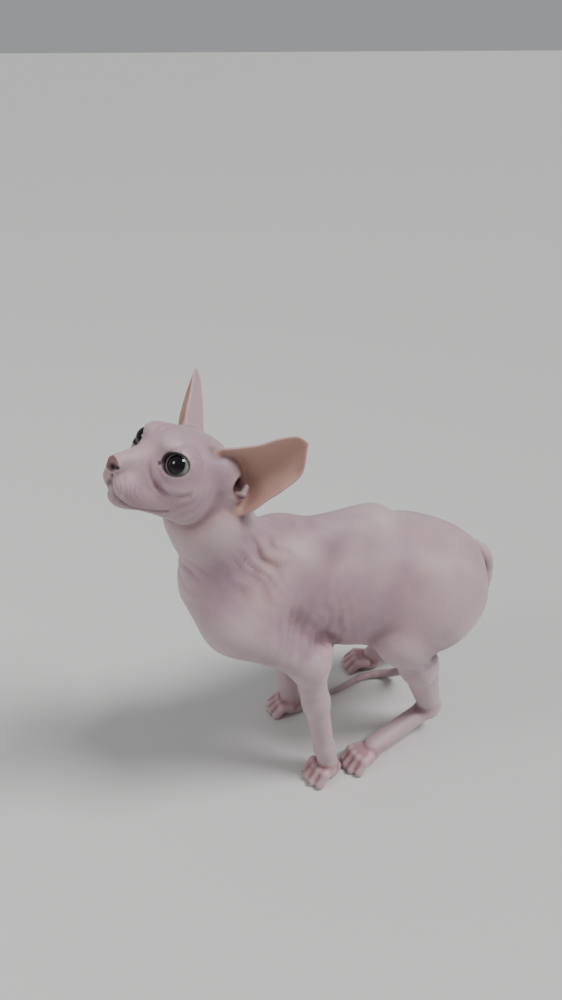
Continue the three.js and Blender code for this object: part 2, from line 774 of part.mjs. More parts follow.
function earShell(side) {
  const [front, back, cup] = [FRONT_RIM, BACK_RIM, CUP_BACK].map((marks) => curve(marks.map((m) => onEar(m, side))));
  const rows = 14;
  const columns = 10;
  const at = (u, t) => {
    const row = THREE.MathUtils.clamp(u, 0, 1);
    const [p, q, middle] = [front, back, cup].map((line) => line.getPoint(row));
    const control = middle.multiplyScalar(2).addScaledVector(p, -0.5).addScaledVector(q, -0.5);
    return p.multiplyScalar((1 - t) ** 2).addScaledVector(control, 2 * t * (1 - t)).addScaledVector(q, t * t);
  };
  const points = [];
  const faces = [];
  for (const face of [side, -side]) {
    for (let i = 0; i <= rows; i++) {
      for (let j = 0; j <= columns; j++) {
        const [u, t] = [i / rows, j / columns];
        const du = at(u + 0.02, t).sub(at(u - 0.02, t));
        const dt = at(u, t + 0.02).sub(at(u, t - 0.02));
        const out = du.cross(dt).normalize();
        const wall = lerp(EAR_ROOT_WALL, EAR_TIP_WALL, u) * (1 - 0.35 * Math.abs(2 * t - 1) ** 3);
        points.push(...at(u, t).addScaledVector(out, (face * wall) / 2).toArray());
      }
    }
  }
  const sheet = (rows + 1) * (columns + 1);
  const id = (i, j, layer) => i * (columns + 1) + j + layer * sheet;
  for (let i = 0; i < rows; i++) {
    for (let j = 0; j < columns; j++) {
      faces.push(id(i, j, 0), id(i + 1, j, 0), id(i + 1, j + 1, 0), id(i, j, 0), id(i + 1, j + 1, 0), id(i, j + 1, 0));
      faces.push(id(i, j, 1), id(i + 1, j + 1, 1), id(i + 1, j, 1), id(i, j, 1), id(i, j + 1, 1), id(i + 1, j + 1, 1));
    }
  }
  const rim = [];
  for (let j = 0; j < columns; j++) rim.push([0, j]);
  for (let i = 0; i < rows; i++) rim.push([i, columns]);
  for (let j = columns; j > 0; j--) rim.push([rows, j]);
  for (let i = rows; i > 0; i--) rim.push([i, 0]);
  rim.forEach(([i, j], n) => {
    const [k, l] = rim[(n + 1) % rim.length];
    faces.push(id(i, j, 0), id(k, l, 0), id(k, l, 1), id(i, j, 0), id(k, l, 1), id(i, j, 1));
  });
  const winding = side > 0 ? faces : faces.map((_, n) => faces[n - (n % 3) + ((3 - (n % 3)) % 3)]);
  return toBody({ points, faces: winding });
}

for (const [name, side] of [['left', 1], ['right', -1]]) {
  const canal = groove([[33, -47, 2], [24, -42, 1]].map((mark) => headCoordinates(onEar(mark, side))), 4.5);
  pieces.head = largest(pieces.head.subtract(canal));
  const shell = earShell(side);
  if (shell.volume() < 0) throw new Error('ear turned inside out');
  pieces[`ear_${name}`] = shell;
}
const headSkin = toBody(grown(toMesh(pieces.head), GAP));
const neckSkin = toBody(grown(toMesh(pieces.neck), GAP));
for (const name of ['ear_left', 'ear_right']) {
  pieces[name] = largest(pieces[name].subtract(headSkin).subtract(neckSkin));
}

// Looks, names, and the move of the origin to the middle of the base

const skin = { color: 0xd8b4ae, roughness: 0.72 };
const look = (name) => {
  if (name.startsWith('eye')) return { color: 0xb9c4b4, roughness: 0.08 };
  if (name.startsWith('ear')) return { color: 0xd9a08c, roughness: 0.7 };
  return skin;
};

const cat = new THREE.Group();
cat.name = 'sphynx_cat';
for (const [name, body] of Object.entries(pieces)) {
  const { points, faces } = toMesh(body);
  const geometry = new THREE.BufferGeometry();
  geometry.setAttribute('position', new THREE.Float32BufferAttribute(points, 3));
  geometry.setIndex(faces);
  geometry.computeVertexNormals();
  const mesh = new THREE.Mesh(geometry, new THREE.MeshStandardMaterial(look(name)));
  mesh.name = name;
  cat.add(mesh);
}
const box = new THREE.Box3().setFromObject(cat);
const middle = box.getCenter(vec(0, 0, 0));
cat.position.set(-middle.x, -middle.y, -box.min.z);

export default cat;
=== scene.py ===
"""A sphynx cat on a pale floor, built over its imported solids.

Shapes are worked out in millimetres in the cat's own frame, where the trunk faces -Y and the left side is +X.
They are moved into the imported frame, in metres, when a mesh is made.
"""
import math

import bmesh
import bpy
import numpy as np
from mathutils import Matrix, Vector
from mathutils.bvhtree import BVHTree


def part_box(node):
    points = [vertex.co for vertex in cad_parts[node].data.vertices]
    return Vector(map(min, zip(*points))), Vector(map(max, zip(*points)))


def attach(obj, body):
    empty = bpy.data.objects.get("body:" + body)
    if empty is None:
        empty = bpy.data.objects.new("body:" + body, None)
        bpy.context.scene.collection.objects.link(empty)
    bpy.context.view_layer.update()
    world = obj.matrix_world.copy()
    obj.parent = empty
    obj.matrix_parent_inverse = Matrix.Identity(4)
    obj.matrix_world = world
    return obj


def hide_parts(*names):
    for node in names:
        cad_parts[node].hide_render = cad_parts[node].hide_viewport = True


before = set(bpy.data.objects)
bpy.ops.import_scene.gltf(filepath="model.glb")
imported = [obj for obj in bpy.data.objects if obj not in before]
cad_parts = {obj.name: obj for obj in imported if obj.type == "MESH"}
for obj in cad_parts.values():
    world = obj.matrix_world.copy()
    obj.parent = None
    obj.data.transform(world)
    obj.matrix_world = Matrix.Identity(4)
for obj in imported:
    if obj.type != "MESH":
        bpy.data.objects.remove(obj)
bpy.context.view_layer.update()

# The head is lifted, turned to the cat's left and slightly rolled, as it is in the photograph. Its own axes
# start between the eyes: side to the cat's left, fore to the nose and up to the crown. The left eyeball,
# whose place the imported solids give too, ties the cat's frame to theirs.

MM_PER_METRE = 1000
BETWEEN_EYES = Vector((12, -142, 328))
HEAD_TURN, HEAD_LIFT, HEAD_ROLL = math.radians(20), math.radians(32), math.radians(5)
EYE_SPACING, EYE_SET_BACK, EYE_RADIUS = 39, 4.5, 10.4

head_turn = (Matrix.Rotation(HEAD_TURN, 4, "Z") @ Matrix.Rotation(-HEAD_LIFT, 4, "X")
             @ Matrix.Rotation(HEAD_ROLL, 4, "Y"))
head_frame = Matrix.Translation(BETWEEN_EYES) @ head_turn


def on_head(side, fore, up):
    return head_frame @ Vector((side, -fore, up))


def eye_centre(side):
    return on_head(EYE_SPACING / 2 * side, -EYE_SET_BACK, 0)


low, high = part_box("eye_left")
SHIFT = (Vector(low) + Vector(high)) * (MM_PER_METRE / 2) - eye_centre(1)


def metres(points):
    return (np.asarray(points, float) + np.array(SHIFT)) / MM_PER_METRE


# The flesh is one distance field of soft masses: cones for bones and muscles, lumps for the fuller parts,
# and a thin sheet for each ear. Each mass melts into those before it over its own soft width, or is carved
# out of them.

OUT_OF_REACH, TINY = 1e3, 1e-9


def cone(start, start_radius, end, end_radius, soft, carves=False):
    start, end = np.array(start), np.array(end)
    return {"kind": "cone", "start": start, "end": end, "radii": (start_radius, end_radius), "soft": soft,
            "carves": carves, "middle": (start + end) / 2,
            "reach": np.linalg.norm(end - start) / 2 + max(start_radius, end_radius)}


def lump(centre, radii, soft, turn=None, carves=False):
    axes = np.array((turn or Matrix()).to_3x3())
    return {"kind": "lump", "middle": np.array(centre, float), "radii": np.array(radii, float), "axes": axes,
            "soft": soft, "carves": carves, "reach": max(radii)}


def distance_to_lump(form, points):
    scaled = (points - form["middle"]) @ form["axes"] / form["radii"]
    length = np.linalg.norm(scaled, axis=1)
    steepness = np.linalg.norm(scaled / form["radii"], axis=1) + TINY
    return length * (length - 1) / steepness


def distance_to_sheet(form, points):
    nearest = [form["tree"].find_nearest(place) for place in points.tolist()]
    return np.array([gap - form["walls"][cell] for _, _, cell, gap in nearest]) - form["swell"]


def distance_to_cone(form, points):
    start_radius, end_radius = form["radii"]
    axis = form["end"] - form["start"]
    axis2 = axis @ axis
    taper = start_radius - end_radius
    slant2 = axis2 - taper * taper
    from_start = points - form["start"]
    along = from_start @ axis
    past_end = along - axis2
    across = from_start * axis2 - np.outer(along, axis)
    across2 = np.einsum("ij,ij->i", across, across)
    along2 = along * along * axis2
    past2 = past_end * past_end * axis2
    edge = np.sign(taper) * taper * taper * across2
    at_side = (np.sqrt(across2 * slant2 / axis2) + along * taper) / axis2 - start_radius
    at_start = np.sqrt(across2 + along2) / axis2 - start_radius
    at_end = np.sqrt(across2 + past2) / axis2 - end_radius
    distance = np.where(np.sign(along) * slant2 * along2 < edge, at_start, at_side)
    return np.where(np.sign(past_end) * slant2 * past2 > edge, at_end, distance)


DISTANCES = {"lump": distance_to_lump, "sheet": distance_to_sheet, "cone": distance_to_cone}


def distance_to(form, points):
    return DISTANCES[form["kind"]](form, points)


def field(forms, points):
    distance = np.full(len(points), OUT_OF_REACH)
    for form in forms:
        soft = form["soft"]
        far = np.linalg.norm(points - form["middle"], axis=1) - form["reach"]
        near = -far >= distance - soft if form["carves"] else far <= distance + soft
        other = distance_to(form, points[near])
        if form["carves"]:
            other = -other
        blend = np.maximum(soft - np.abs(distance[near] - other), 0) / soft
        if form["carves"]:
            distance[near] = np.maximum(distance[near], other) + blend * blend * soft / 4
        else:
            distance[near] = np.minimum(distance[near], other) - blend * blend * soft / 4
    return distance


# Trunk: bare skin over a deep rib cage, a round pot belly, the loin and a rounded rump. The breastbone
# stands out in front and the ridge of the withers runs along the top.

HALF_WIDTH = 53


def turn_x(angle):
    return Matrix.Rotation(angle, 4, "X")


trunk = [
    lump((0, -59, 182), (HALF_WIDTH * 0.78, 56, 50), 1, turn_x(0.25)),
    lump((0, 18, 175), (HALF_WIDTH, 72, 58), 30),
    lump((0, 83, 157), (HALF_WIDTH * 0.92, 51, 52), 30, turn_x(-0.35)),
    cone((4, -94, 190), 34, (4, -108, 204), 26, 18),
    cone((0, -50, 228), 10, (0, 24, 226), 14, 22),
]

# Neck: long and raised, thick where it leaves the shoulders and narrow behind the jaw. It leans forward as
# it rises, and meets the skull low at its back.

neck = [
    cone((3, -92, 212), 37, (8, -112, 268), 28, 22),
    cone((8, -112, 268), 28, on_head(0, -34, -14), 25, 14),
]

# Legs: each ends in a foot of four arched toes on a pad. The left hind foot is nearly flat on the floor and
# the right hind heel is raised. The fore legs stand side by side and lean back from the shoulder to the
# wrist.

SOLE_FLAT, TOE_RADIUS, TOE_SPREAD, TOE_SPLAY = 0.7, 4.1, 9.4, 1.05
TOE_STEPS = (-1.5, -0.5, 0.5, 1.5)
LEFT_FORELEG = dict(blade=(17, -52, 222), shoulder=(32, -100, 186), elbow=(43, -46, 138),
                    wrist=(46, -30, 34), paw=(46, -28, 0), heading=14, toe=17)
RIGHT_FORELEG = dict(blade=(-17, -52, 222), shoulder=(-32, -98, 184), elbow=(-39, -48, 136),
                     wrist=(-37, -34, 34), paw=(-36, -33, 0), heading=-10, toe=17)
LEFT_HIND = dict(hip=(26, 92, 172), knee=(49, 34, 138), hock=(28, 84, 24),
                 paw=(45, 10, 0), heading=17, toe=18)
RIGHT_HIND = dict(hip=(-26, 92, 172), knee=(-52, 40, 128), hock=(-43, 133, 62),
                  paw=(-65, 62, 0), heading=-14, toe=18)
FOUR_LEGS = (LEFT_FORELEG, RIGHT_FORELEG, LEFT_HIND, RIGHT_HIND)


def foot_turn(leg):
    return Matrix.Rotation(math.radians(leg["heading"]), 4, "Z")


def toe_reach(leg, step):
    return step * TOE_SPREAD * 0.68, leg["toe"] - abs(step) * 3.2 + 1.6


def toes(leg, palm_back):
    place = Matrix.Translation(leg["paw"]) @ foot_turn(leg)

    def at(side, fore, up):
        return place @ Vector((side, -fore, up - SOLE_FLAT))

    forms = [
        lump(at(0, -1, 6), (TOE_SPREAD * 1.1, 12, 6.5), 4, place),
        lump(at(0, palm_back, 4.5), (TOE_SPREAD * 0.8, 8, 5), 4, place),
    ]
    for step in TOE_STEPS:
        out, reach = toe_reach(leg, step)
        knuckle = at(out * 0.95, reach * 0.52, 11.5)
        forms.append(cone(at(out * 0.7, 0, 11), TOE_RADIUS + 1, knuckle, TOE_RADIUS, 2.4))
        forms.append(cone(knuckle, TOE_RADIUS, at(out * TOE_SPLAY, reach, TOE_RADIUS), TOE_RADIUS - 0.1, 1.2))
    return forms


def foreleg(leg):
    blade, shoulder, elbow, wrist = (Vector(leg[name]) for name in ("blade", "shoulder", "elbow", "wrist"))
    middle = elbow.lerp(wrist, 0.45)
    return [
        cone(blade, 15, shoulder, 21, 22),
        cone(shoulder, 22, elbow, 15.5, 18),
        cone(elbow, 15, elbow + Vector((0, 8, 4)), 10, 10),
        cone(elbow, 14, middle, 10.5, 10),
        cone(middle, 10.5, wrist, 8.6, 8),
        cone(wrist, 8.8, Vector(leg["paw"]) + Vector((0, 2, 14)), 9, 6),
        *toes(leg, -7),
    ]


def hind_leg(leg):
    hip, knee, hock, paw = (Vector(leg[name]) for name in ("hip", "knee", "hock", "paw"))
    calf = knee.lerp(hock, 0.35) + Vector((0, 5, 0))
    instep = (paw + Vector((0, 0, 10))).lerp(hock, 0.12)
    heel = hock + (hock - paw).normalized() * 4 + Vector((0, 1, 2))
    return [
        lump(hip.lerp(knee, 0.4), (24, 42, 46), 22, turn_x(0.7)),
        cone(hip.lerp(knee, 0.5), 30, knee, 17.5, 20),
        cone(knee, 16.5, calf, 14.5, 12),
        cone(calf, 14, hock, 8.6, 10),
        cone(calf + Vector((0, 12, 0)), 7, heel, 4.5, 9),
        cone(hock, 8.8, heel, 7.4, 5),
        cone(hock, 8.6, instep, 9, 6),
        *toes(leg, -9),
    ]


legs = foreleg(LEFT_FORELEG) + foreleg(RIGHT_FORELEG) + hind_leg(LEFT_HIND) + hind_leg(RIGHT_HIND)

# Tail: a tapering whip of skin over fine bones. It hugs the rump, runs forward between the hind legs and
# ends on the floor.

TAIL_ROOT, TAIL_TIP, TAIL_PARTS = 8, 2.6, 30
TAIL_MARKS = [(0, 118, 184), (2, 139, 166), (5, 139, 138), (6, 126, 106), (2, 106, 76), (-14, 94, 42),
              (-32, 84, 14), (-44, 70, 4.4), (-47, 50, 2.8), (-43, 31, 2.2), (-40, 15, 1.9)]


def spline(marks, count):
    marks = np.array(marks, float)
    padded = np.vstack([2 * marks[0] - marks[1], marks, 2 * marks[-1] - marks[-2]])
    line = []
    for t in np.linspace(0, len(marks) - 1, count):
        n = min(int(t), len(marks) - 2)
        w = t - n
        p0, p1, p2, p3 = padded[n:n + 4]
        line.append(0.5 * (2 * p1 + (p2 - p0) * w + (2 * p0 - 5 * p1 + 4 * p2 - p3) * w ** 2
                           + (3 * p1 - p0 - 3 * p2 + p3) * w ** 3))
    return np.array(line)


def tail_radius(n):
    return TAIL_ROOT + (TAIL_TIP - TAIL_ROOT) * (n / TAIL_PARTS) ** 0.8


tail_line = spline(TAIL_MARKS, TAIL_PARTS + 1)
tail = [cone(tail_line[n], tail_radius(n), tail_line[n + 1], tail_radius(n + 1), 3 if n < 3 else 0.5)
        for n in range(TAIL_PARTS)]

# Head: the skull, cheekbones, brow and jaw under thin skin, and the muzzle with its two whisker pads and
# the chin. The last two masses on each side are the flesh that the ears stand on.

skull = [
    lump(on_head(0, -26, 0), (28, 29, 20.5), 1, head_turn),
    lump(on_head(0, -10, 3), (19, 19.5, 15), 10, head_turn),
    lump(on_head(0, -40, -8), (24, 17, 20), 14, head_turn),
    cone(on_head(0, 2, -15), 15.5, on_head(0, 15, -22), 12, 12),
    cone(on_head(0, 0, -3), 9, on_head(0, 26, -13), 5.8, 8),
    lump(on_head(0, 30, -16.5), (6.4, 4.6, 5.4), 3, head_turn),
    lump(on_head(0, 14.5, -37), (7.6, 8.6, 6.4), 6, head_turn),
    cone(on_head(0, 9, -32), 9, on_head(0, -8, -30), 12.5, 8),
]
for side in (-1, 1):
    skull += [
        lump(on_head(23 * side, -15, -12), (12, 19, 13), 12, head_turn),
        lump(on_head(11 * side, 0, 9), (10, 9.5, 6.5), 8, head_turn),
        lump(on_head(7.2 * side, 18, -26), (9.2, 9.6, 9), 4, head_turn),
        cone(on_head(9 * side, 8, -31), 7.5, on_head(20 * side, -20, -25), 13, 8),
        lump(on_head(21 * side, -34, 5), (7, 10, 11), 11, head_turn),
        cone(on_head(22 * side, -36, 7), 8.5, on_head(28 * side, -47, -4), 8.5, 9),
    ]

# Face: lids over the eyeballs with a round opening between them, and the line of the mouth. The lids are
# part of the flesh, the openings are carved out of them, and the lines are carved once the skin's own
# surface is known.

LID_YAW, LID_SLANT = 0.36, 0.22


def head_way(side, fore, up):
    return on_head(side, fore, up) - on_head(0, 0, 0)


lids = [lump(eye_centre(side), (12.3, 12.3, 11.6), 5, head_turn) for side in (-1, 1)]
openings, line_marks = [], []
for side in (-1, 1):
    look = head_way(LID_YAW * side, 0.92, 0.12).normalized()
    slant = (head_turn @ Matrix.Rotation(LID_YAW * side, 4, "Z")
             @ Matrix.Rotation(-LID_SLANT * side, 4, "Y"))
    openings.append(lump(eye_centre(side) + look * 9.5, (9.6, 9, 7.4), 1.2, slant, carves=True))
    lip = [(0, 30.5, -29), (2 * side, 28.5, -31.5), (5 * side, 24, -34.5), (9 * side, 16, -36.5),
           (13 * side, 8, -36), (18 * side, 0, -33), (22 * side, -8, -28.5)]
    line_marks.append((lip, 1.15, 0.35, 2.2))
line_marks.append(([(0, 35, -19.5), (0, 33, -24), (0, 30.5, -29)], 0.9, 0.9, 2))

# Each ear is an open cup of thin gristle and skin. Its front rim starts high on the skull, its back rim low
# behind the cheek, and its canal goes down into the head. The right ear swings further forward.

EAR_ROWS, EAR_COLUMNS = 40, 30
EAR_PIVOT, RIGHT_EAR_SWING = Vector((24, 38, 5)), -0.3
EAR_WALL, EAR_THINNING, EAR_SWELL = 1.25, 0.55, 1.6
FRONT_RIM = [(19, -30, 10), (23, -24, 18), (32, -31, 26), (40, -39, 34), (48, -45, 44), (54.5, -52, 50.6),
             (58.9, -58.3, 49.8)]
BACK_RIM = [(25, -44, -8), (36, -55, -16), (43, -58, -10), (49, -60, 2), (55, -62, 13), (60.8, -64.8, 30),
            (58.9, -58.5, 49.4)]
CUP_BACK = [(15, -42, 4), (20, -50, 6), (29, -57, 12), (38, -61, 22), (46, -62, 32), (54, -62, 42),
            (58.9, -58.6, 49.5)]
CANAL_AND_FOLD = [(36, -49, 1), (18, -40, 0), (33, -46, -6), (37, -49, -3), (36, -50, 3)]


def ear_marks(marks, side):
    swing = (Matrix.Translation(EAR_PIVOT) @ Matrix.Rotation(0.0 if side > 0 else RIGHT_EAR_SWING, 4, "Z")
             @ Matrix.Translation(-EAR_PIVOT))
    placed = []
    for out, fore, up in marks:
        mark = swing @ Vector((out, -fore, up))
        placed.append(on_head(mark.x * side, -mark.y, mark.z))
    return placed


ears, canals, folds_in_ear = [], [], []
for side in (-1, 1):
    rims = [spline(ear_marks(marks, side), EAR_ROWS + 1) for marks in (FRONT_RIM, BACK_RIM, CUP_BACK)]
    front, back, cup = rims
    control = 2 * cup - (front + back) / 2
    t = np.linspace(0, 1, EAR_COLUMNS + 1)[None, :, None]
    sheet = (1 - t) ** 2 * front[:, None] + 2 * t * (1 - t) * control[:, None] + t ** 2 * back[:, None]
    sheet = sheet.reshape(-1, 3)
    cells, walls = [], []
    for row in range(EAR_ROWS):
        for column in range(EAR_COLUMNS):
            n = row * (EAR_COLUMNS + 1) + column
            cells.append((n, n + EAR_COLUMNS + 1, n + EAR_COLUMNS + 2, n + 1))
            walls.append(EAR_WALL - EAR_THINNING * row / EAR_ROWS)
    middle = sheet.mean(0)
    reach = np.linalg.norm(sheet - middle, axis=1).max() + 3
    ears.append({"kind": "sheet", "middle": middle, "reach": reach, "soft": 5, "carves": False,
                 "swell": EAR_SWELL, "tree": BVHTree.FromPolygons(sheet.tolist(), cells), "walls": walls})
    mouth, end, fold_foot, fold_bend, fold_top = ear_marks(CANAL_AND_FOLD, side)
    canals.append(cone(mouth, 6.5, end, 3, 3, carves=True))
    folds_in_ear += [cone(fold_foot, 2.6, fold_bend, 2.4, 3), cone(fold_bend, 2.4, fold_top, 1.8, 1)]

flesh = trunk + legs + neck + skull + lids + openings + tail + ears + canals + folds_in_ear

# Skin: bare and thin, one closed sheet over the whole cat. It is the surface of the field, first drawn as
# quads one cell wide. The field is read on a coarse grid, and on the fine one only near the surface.

CELL, COARSE = 2.45, 4
lowest, highest = np.array((-92, -205, -4)), np.array((92, 170, 380))
counts = np.ceil((highest - lowest) / CELL).astype(int)
axes = [lowest[n] + CELL * np.arange(counts[n]) for n in range(3)]
grid = np.stack(np.meshgrid(*axes, indexing="ij"), -1)
rough = field(flesh, grid[::COARSE, ::COARSE, ::COARSE].reshape(-1, 3))
rough = rough.reshape([-(-count // COARSE) for count in counts])
values = rough.repeat(COARSE, 0).repeat(COARSE, 1).repeat(COARSE, 2)
values = values[:counts[0], :counts[1], :counts[2]].copy()
close = np.abs(values) < CELL * COARSE * 1.8
values[close] = field(flesh, grid[close])
values = np.maximum(values, -grid[..., 2])

inside = values < 0
corners_inside = np.zeros(counts - 1, int)
for corner in np.ndindex(2, 2, 2):
    corners_inside += inside[tuple(slice(c, counts[n] - 1 + c) for n, c in enumerate(corner))]
crossed = (corners_inside > 0) & (corners_inside < 8)
number = np.full(crossed.shape, -1)
number[crossed] = np.arange(crossed.sum())
where = np.argwhere(crossed)
total = np.zeros((len(where), 3))
hits = np.zeros(len(where))
for axis in range(3):
    others = [n for n in range(3) if n != axis]
    for corner in np.ndindex(2, 2):
        start = where.copy()
        start[:, others] += corner
        end = start.copy()
        end[:, axis] += 1
        at_start, at_end = values[tuple(start.T)], values[tuple(end.T)]
        cut = (at_start < 0) != (at_end < 0)
        t = at_start[cut] / (at_start[cut] - at_end[cut])
        total[cut] += start[cut] + t[:, None] * (end[cut] - start[cut])
        hits[cut] += 1
points = lowest + CELL * total / hits[:, None]

quads = []
for axis in range(3):
    u, v = (axis + 1) % 3, (axis + 2) % 3
    first = [slice(1, None)] * 3
    first[axis] = slice(0, -1)
    base = np.argwhere(inside[tuple(first)] != np.roll(inside, -1, axis)[tuple(first)])
    base[:, u] += 1
    base[:, v] += 1
    ring = []
    for du, dv in ((-1, -1), (0, -1), (0, 0), (-1, 0)):
        cell = base.copy()
        cell[:, u] += du
        cell[:, v] += dv
        ring.append(number[tuple(cell.T)])
    ring = np.stack(ring, 1)
    arriving = ~inside[tuple(base.T)]
    ring[arriving] = ring[arriving][:, ::-1]
    quads.append(ring)
polygons = [tuple(quad) for quad in np.vstack(quads).tolist()]

# The skin's points are then drawn onto the field, and its quads are made twice as fine over the feet, ears
# and face, and again round the muzzle, eyes and mouth corners. The ears start swollen, so that the grid
# catches their thin walls, and thin down as the points settle.

PROBE, LEAST_SLOPE, LONGEST_MOVE = 0.05, 0.3, 1.5
FOOT_HEIGHT, LINE_POINTS = 17, 14


def settle(points, rounds):
    for _ in range(rounds):
        distance = field(flesh, points)
        slope = np.stack([field(flesh, points + aside) - field(flesh, points - aside)
                          for aside in np.eye(3) * PROBE], 1) / (2 * PROBE)
        length = np.maximum(np.linalg.norm(slope, axis=1), LEAST_SLOPE)
        move = np.clip(distance / length, -LONGEST_MOVE, LONGEST_MOVE)[:, None] * slope / length[:, None]
        points = points - move
        points[:, 2] = np.maximum(points[:, 2], 0)
    return points


def refine(points, polygons, wanted):
    middles = {}
    points = list(points)

    def middle(a, b):
        key = (min(a, b), max(a, b))
        if key not in middles:
            middles[key] = len(points)
            points.append((points[a] + points[b]) / 2)
        return middles[key]

    finer, others = [], []
    for polygon, pick in zip(polygons, wanted):
        if pick and len(polygon) == 4:
            ring = [middle(polygon[n], polygon[(n + 1) % 4]) for n in range(4)]
            points.append(sum(points[v] for v in polygon) / 4)
            centre = len(points) - 1
            finer += [(polygon[n], ring[n], centre, ring[n - 1]) for n in range(4)]
        else:
            others.append(polygon)
    for polygon in others:
        ring = []
        for n, v in enumerate(polygon):
            w = polygon[(n + 1) % len(polygon)]
            ring.append(v)
            key = (min(v, w), max(v, w))
            if key in middles:
                ring.append(middles[key])
        finer.append(tuple(ring))
    return np.array(points), finer


def polygon_middles(points, polygons):
    return np.array([points[list(polygon)].mean(0) for polygon in polygons])


def around(places, centre, radius):
    return np.linalg.norm(places - np.array(centre), axis=1) < radius


points = settle(points, 1)
middles = polygon_middles(points, polygons)
wanted = (middles[:, 2] < FOOT_HEIGHT) | around(middles, on_head(0, 14, -8), 54)
for ear in ears:
    wanted |= around(middles, ear["middle"], ear["reach"])
points, polygons = refine(points, polygons, wanted)
for swell in (0.8, 0.3, 0):
    for ear in ears:
        ear["swell"] = swell
    points = settle(points, 1)

lines = []
for marks, start, end, soft in line_marks:
    line = settle(spline([on_head(*mark) for mark in marks], LINE_POINTS), 6)
    radii = np.linspace(start, end, LINE_POINTS)
    lines += [cone(line[n], radii[n], line[n + 1], radii[n + 1], soft, carves=True)
              for n in range(LINE_POINTS - 1)]
flesh += lines
middles = polygon_middles(points, polygons)
wanted = around(middles, on_head(0, 26, -22), 24)
for side in (-1, 1):
    wanted |= around(middles, eye_centre(side), 15)
    wanted |= around(middles, on_head(16 * side, 1, -33), 12)
points, polygons = refine(points, polygons, wanted)
face = around(points, on_head(0, 8, -12), 50)
points[face] = settle(points[face], 2)

mesh = bpy.data.meshes.new("skin")
mesh.from_pydata(points.tolist(), [], polygons)
skin = bpy.data.objects.new("skin", mesh)
bpy.context.collection.objects.link(skin)
pairs = np.zeros(len(mesh.edges) * 2, int)
mesh.edges.foreach_get("vertices", pairs)
pairs = pairs.reshape(-1, 2)
valence = np.bincount(pairs.ravel(), minlength=len(points))


def spread_out(values):
    total = np.bincount(pairs[:, 0], values[pairs[:, 1]], len(points))
    total += np.bincount(pairs[:, 1], values[pairs[:, 0]], len(points))
    return total / valence


def spread_places(places):
    return np.column_stack([spread_out(places[:, n]) for n in range(3)])


muzzle = around(points, on_head(0, 14, -26), 34)
for _ in range(2):
    points[muzzle] = (points[muzzle] + spread_places(points)[muzzle]) / 2

# Folds: loose skin lies in families of parallel creases. Each has a middle, a spread, the way across its
# creases, their width and a depth. They are pressed into the skin, sharp in the valleys and broad on the
# tops.

FOLD_FADE, FOLD_WANDER, FOLD_BEND, FOLD_PRESS, FOLD_SHARPNESS = 1.3, 3.2, 0.2, 1.9, 1.8

rng = np.random.default_rng(7)
into_head = np.array(head_frame.inverted())
local = (into_head @ np.column_stack([points, np.ones(len(points))]).T).T[:, :3] * (1, -1, 1)
folds = [
    ((34, -84, 236), (26, 24, 30), (0.2, 0.75, 0.6), 9, 1.1),
    ((-30, -84, 236), (26, 24, 30), (-0.2, 0.75, 0.6), 9, 1.1),
    ((44, -70, 170), (20, 26, 34), (0.1, 0.9, -0.35), 8, 0.6),
    ((-42, -70, 170), (20, 26, 34), (-0.1, 0.9, -0.35), 8, 0.6),
    ((50, -28, 165), (22, 20, 40), (0, 1, 0.15), 7.5, 0.7),
    ((-50, -28, 165), (22, 20, 40), (0, 1, 0.15), 7.5, 0.7),
    ((8, -150, 225), (44, 30, 40), (0, 0.4, 0.9), 10, 0.9),
    ((46, 50, 128), (22, 34, 26), (0.1, 0.5, 0.8), 8, 1.0),
    ((-46, 50, 128), (22, 34, 26), (-0.1, 0.5, 0.8), 8, 1.0),
    ((0, 10, 118), (46, 60, 18), (0, 1, 0), 12, 1.1),
    ((0, -98, 250), (30, 30, 30), (0, 0.6, 0.8), 8, 0.8),
    ((0, 135, 160), (40, 30, 46), (1, 0, 0.2), 9, 0.5),
    ((28, 86, 40), (16, 20, 26), (0, 0.2, 1), 5, 0.6),
    ((-43, 128, 66), (16, 24, 26), (0, 0.3, 1), 5, 0.6),
    ((43, -46, 138), (20, 22, 16), (0, 0.2, 1), 6, 0.7),
    ((-39, -46, 138), (20, 22, 16), (0, 0.2, 1), 6, 0.7),
    ((46, -30, 26), (14, 14, 10), (0, 0.3, 1), 4, 0.45),
    ((-37, -33, 26), (14, 14, 10), (0, 0.3, 1), 4, 0.45),
]
face_folds = [
    ((5, 4, 16), (7, 13, 9), (1, 0.1, 0), 4.4, 0.5),
    ((-5, 4, 16), (7, 13, 9), (1, -0.1, 0), 4.4, 0.5),
    ((12, 20, -25), (7, 9, 8), (0.3, -0.8, 0.5), 3.2, 0.4),
    ((-12, 20, -25), (7, 9, 8), (-0.3, -0.8, 0.5), 3.2, 0.4),
    ((20, 4, -15), (10, 11, 8), (0.1, -0.5, 0.85), 4.5, 0.3),
    ((-20, 4, -15), (10, 11, 8), (-0.1, -0.5, 0.85), 4.5, 0.3),
    ((27, -16, -20), (9, 14, 16), (0, 1, 0.25), 5.5, 0.6),
    ((-27, -16, -20), (9, 14, 16), (0, 1, 0.25), 5.5, 0.6),
]
press = np.zeros(len(points))
for places, families in ((points, folds), (local, face_folds)):
    for middle, spread, across, width, depth in families:
        off = places - np.array(middle)
        reach = (off / np.array(spread)) ** 2
        weight = np.exp(-FOLD_FADE * reach.sum(1))
        across = np.array(across) / np.linalg.norm(across)
        wander = rng.uniform(-1, 1, (3, 3)) / (FOLD_WANDER * width)
        bend = sum(np.sin(off @ way * 6 + n) for n, way in enumerate(wander))
        phase = off @ across / width + FOLD_BEND * bend
        valley = 1 - np.abs(np.sin(math.pi * phase))
        press += FOLD_PRESS * depth * weight * valley ** FOLD_SHARPNESS

